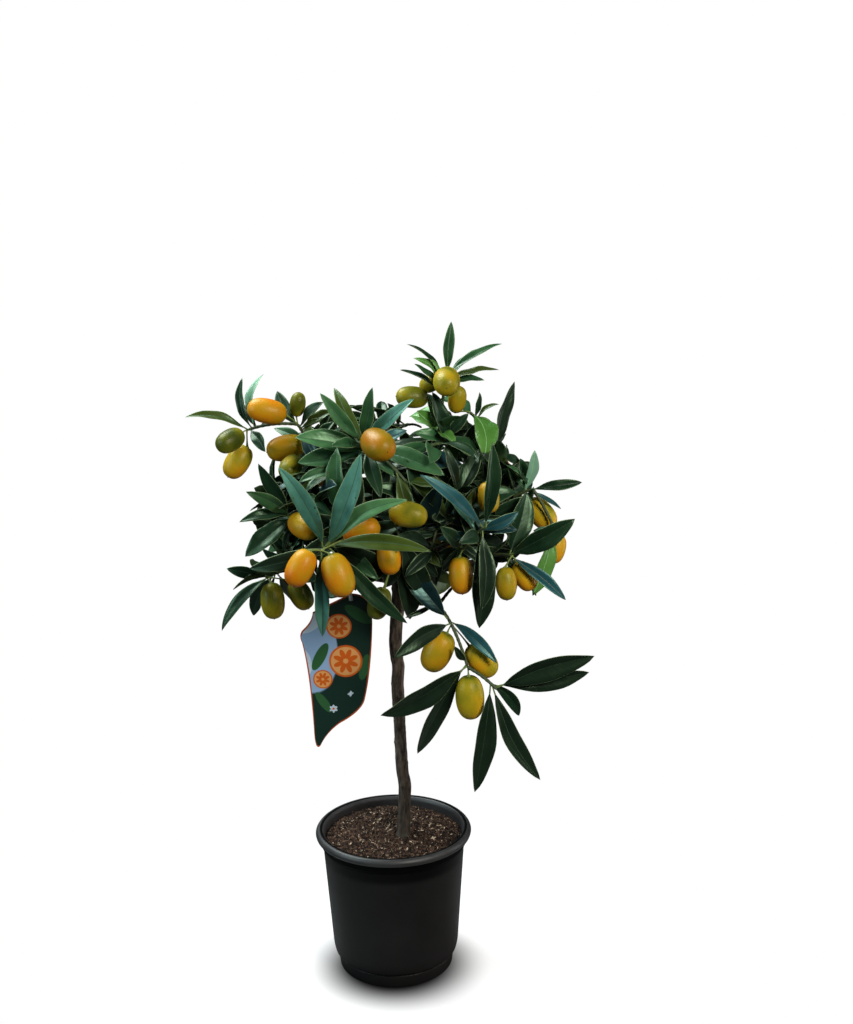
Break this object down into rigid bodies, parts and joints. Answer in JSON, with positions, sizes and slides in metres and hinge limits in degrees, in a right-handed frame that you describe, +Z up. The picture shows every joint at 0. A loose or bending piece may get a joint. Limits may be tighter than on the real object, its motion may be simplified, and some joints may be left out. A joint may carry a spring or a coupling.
{
  "type": "potted kumquat tree",
  "caption": "Young kumquat tree with glossy leaves and egg-shaped orange and green fruit on a slim bare stem, in a round black nursery pot with a hanging plant label.",
  "frame": {"origin": "middle of the pot's flat underside, on the surface that the pot stands on", "axes": "+Z up, +X to the right seen from the front, -Y to the front, which is the side of the plant label and of the low hanging shoot"},
  "size_m": [0.3902, 0.304, 0.6881],
  "materials": {
    "pot_plastic": "satin black",
    "potting_soil": "moist dark brown peat and bark",
    "bark": "grey-brown bark",
    "foliage": "glossy dark green leaves with yellow-green to orange fruit",
    "label_card": "printed plastic card"
  },
  "bodies": {
    "root": {"pot": "pot_plastic", "soil": "potting_soil", "trunk": "bark", "spire_bough": "bark", "right_top_bough": "bark", "left_arm_bough": "bark", "left_mid_bough": "bark", "low_left_bough": "bark", "front_left_bough": "bark", "top_front_bough": "bark", "front_bough": "bark", "front_right_bough": "bark", "low_right_bough": "bark", "far_right_bough": "bark", "hanging_bough": "bark", "back_left_bough": "bark", "back_bough": "bark", "back_right_bough": "bark", "back_top_bough": "bark", "back_low_bough": "bark", "spire_foliage": "foliage", "right_top_foliage": "foliage", "left_arm_foliage": "foliage", "left_mid_foliage": "foliage", "low_left_foliage": "foliage", "front_left_foliage": "foliage", "top_front_foliage": "foliage", "front_foliage": "foliage", "front_right_foliage": "foliage", "low_right_foliage": "foliage", "far_right_foliage": "foliage", "hanging_foliage": "foliage", "back_left_foliage": "foliage", "back_foliage": "foliage", "back_right_foliage": "foliage", "back_top_foliage": "foliage", "back_low_foliage": "foliage", "label": "label_card"}
  },
  "joints": []
}
